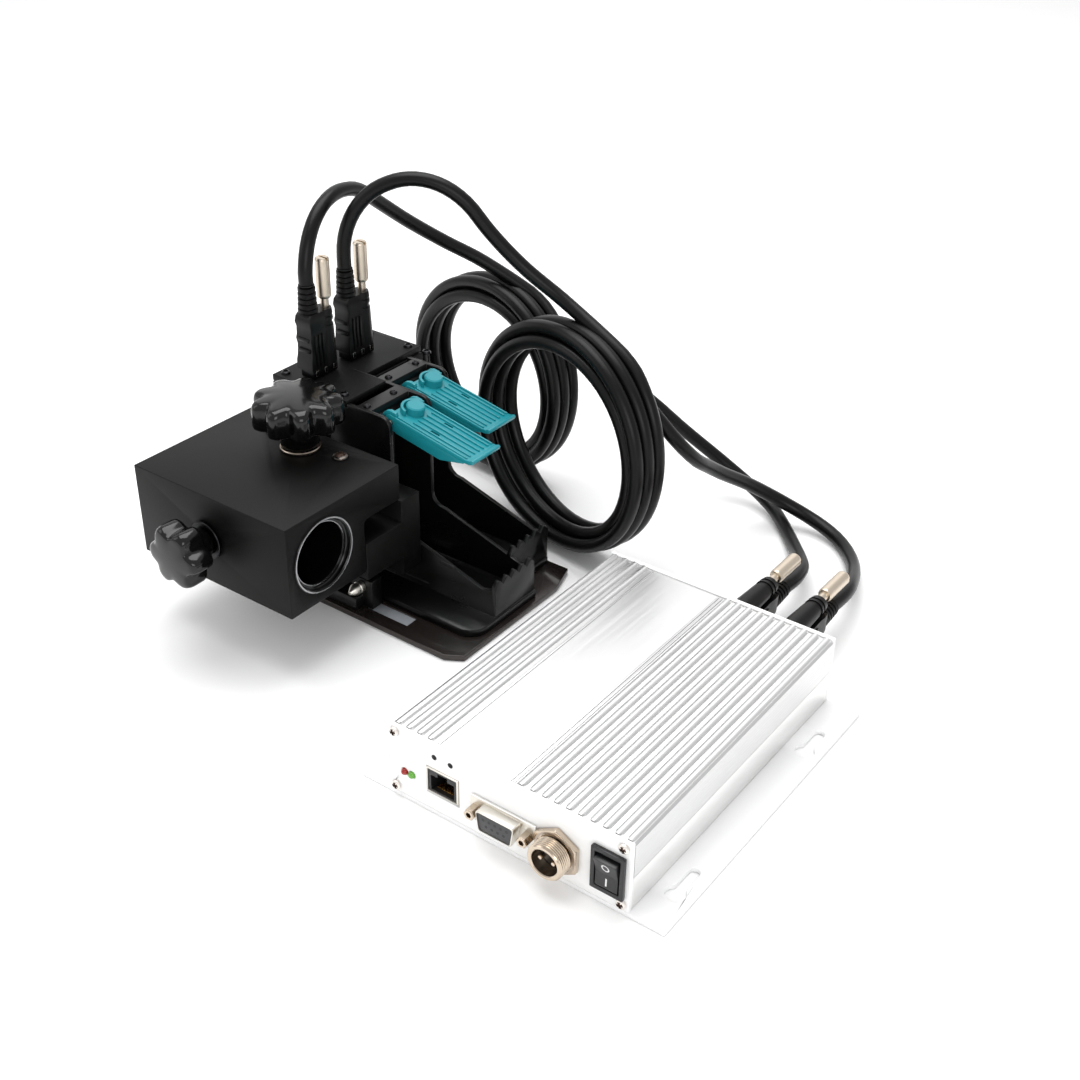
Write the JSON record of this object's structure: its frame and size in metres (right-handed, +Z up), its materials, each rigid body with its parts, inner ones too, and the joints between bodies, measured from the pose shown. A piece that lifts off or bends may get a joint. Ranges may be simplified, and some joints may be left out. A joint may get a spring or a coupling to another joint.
{
  "type": "date code inkjet printer",
  "caption": "Small ribbed controller box cabled to an inkjet print head with hinged cartridge latches, a skid plate and a knob-adjusted bar clamp for coding packages.",
  "frame": {"origin": "centre of the controller base plate's underside", "axes": "+X to the right along the front panel, +Y from the front panel to the rear, +Z up"},
  "size_m": [0.3207, 0.3158, 0.1926],
  "materials": {
    "anodised_aluminium": "satin anodised, extruded ribs",
    "white_powder_coat": "smooth white powder coat",
    "black_anodised": "matte black anodised, fine bead blast",
    "black_mould": "semi-gloss black moulding",
    "rocker_plastic": "semi-gloss black moulding",
    "teal_mould": "satin teal moulding",
    "steel": "bright zinc or nickel plated steel",
    "nickel": "warm nickel plated brass",
    "bronze_plate": "smoked bronze-black, glossy",
    "circuit_board": "green solder mask",
    "gold_contacts": "gold plated contact pins in a pad",
    "red_led": "clear red lens",
    "green_led": "clear green lens",
    "cable_jacket": "satin black jacket",
    "knob_plastic": "glossy black phenolic"
  },
  "bodies": {
    "controller_and_head": {"controller_base_plate": "anodised_aluminium", "enclosure_upper_shell": "anodised_aluminium", "enclosure_lower_shell": "anodised_aluminium", "front_end_panel": "white_powder_coat", "rear_end_panel": "white_powder_coat", "front_panel_screw_upper_left": "steel", "front_panel_screw_upper_right": "steel", "front_panel_screw_lower_left": "steel", "front_panel_screw_lower_right": "steel", "ethernet_jack": "steel", "serial_connector": "steel", "head_socket_a": "steel", "head_socket_b": "steel", "rear_socket_a": "steel", "rear_socket_b": "steel", "latch_pin_near": "steel", "latch_pin_far": "steel", "sensor_tip": "steel", "main_board": "circuit_board", "head_board": "circuit_board", "status_led_red": "red_led", "status_led_green": "green_led", "power_socket": "nickel", "power_socket_nut": "nickel", "switch_bezel": "black_mould", "head_plug_a": "black_mould", "head_plug_b": "black_mould", "rear_plug_a": "black_mould", "rear_plug_b": "black_mould", "cartridge_carriage": "black_mould", "sensor_block": "black_mould", "cable_a_head_lead": "cable_jacket", "cable_a_coil": "cable_jacket", "cable_a_rear_lead": "cable_jacket", "cable_b_head_lead": "cable_jacket", "cable_b_coil": "cable_jacket", "cable_b_rear_lead": "cable_jacket", "contact_pad_near": "gold_contacts", "contact_pad_far": "gold_contacts", "skid_plate": "bronze_plate", "head_housing": "black_anodised", "housing_lid": "black_anodised", "slide_arm": "black_anodised"},
    "latch_near": {"cartridge_latch_near": "teal_mould"},
    "latch_far": {"cartridge_latch_far": "teal_mould"},
    "rocker": {"switch_rocker": "rocker_plastic"},
    "clamp": {"clamp_block": "black_anodised", "bore_liner": "black_mould", "guide_screw_left": "steel", "guide_screw_right": "steel", "height_knob_washer": "steel"},
    "height_knob": {"height_knob": "knob_plastic"},
    "grip_washer": {"clamp_knob_washer": "steel"},
    "grip_knob": {"clamp_knob": "knob_plastic"},
    "head_thumbscrew_a": {"head_thumbscrew_a": "nickel"},
    "head_thumbscrew_b": {"head_thumbscrew_b": "nickel"},
    "rear_thumbscrew_a": {"rear_thumbscrew_a": "nickel"},
    "rear_thumbscrew_b": {"rear_thumbscrew_b": "nickel"}
  },
  "joints": [
    {"name": "latch_near_hinge", "type": "hinge", "parent": "controller_and_head", "child": "latch_near", "pos_m": [-0.157, 0.0496, 0.086], "axis": [0, -1, 0], "range_deg": [0, 100]},
    {"name": "latch_far_hinge", "type": "hinge", "parent": "controller_and_head", "child": "latch_far", "pos_m": [-0.1697, 0.0778, 0.086], "axis": [0, -1, 0], "range_deg": [0, 100]},
    {"name": "power_rocker", "type": "hinge", "parent": "controller_and_head", "child": "rocker", "pos_m": [0.048, -0.0768, 0.0181], "axis": [1, 0, 0], "range_deg": [-14, 0]},
    {"name": "clamp_height_slide", "type": "slide", "parent": "controller_and_head", "child": "clamp", "axis": [0, 0, -1], "range_m": [0, 0.012]},
    {"name": "height_knob_turn", "type": "hinge", "parent": "clamp", "child": "height_knob", "pos_m": [-0.182, 0.006, 0.0812], "axis": [0, 0, 1], "range_deg": [-3457, 0]},
    {"name": "grip_screw_slide", "type": "slide", "parent": "clamp", "child": "grip_washer", "axis": [0, -1, 0], "range_m": [0, 0.003]},
    {"name": "grip_knob_turn", "type": "hinge", "parent": "grip_washer", "child": "grip_knob", "pos_m": [-0.185, -0.0532, 0.0569], "axis": [0, -1, 0], "range_deg": [0, 865]},
    {"name": "head_thumbscrew_a_turn", "type": "hinge", "parent": "controller_and_head", "child": "head_thumbscrew_a", "pos_m": [-0.21, 0.0557, 0.1], "axis": [0, 0, 1], "range_deg": [0, 1800]},
    {"name": "head_thumbscrew_b_turn", "type": "hinge", "parent": "controller_and_head", "child": "head_thumbscrew_b", "pos_m": [-0.21, 0.0817, 0.1], "axis": [0, 0, 1], "range_deg": [0, 1800]},
    {"name": "rear_thumbscrew_a_turn", "type": "hinge", "parent": "controller_and_head", "child": "rear_thumbscrew_a", "pos_m": [0.0083, 0.09, 0.027], "axis": [0, 1, 0], "range_deg": [0, 1800]},
    {"name": "rear_thumbscrew_b_turn", "type": "hinge", "parent": "controller_and_head", "child": "rear_thumbscrew_b", "pos_m": [0.0334, 0.09, 0.027], "axis": [0, 1, 0], "range_deg": [0, 1800]}
  ],
  "couplings": [
    {"joint": "height_knob_turn", "follows": "clamp_height_slide", "rad_per_m": -5026.5},
    {"joint": "grip_knob_turn", "follows": "grip_screw_slide", "rad_per_m": 5026.5}
  ]
}
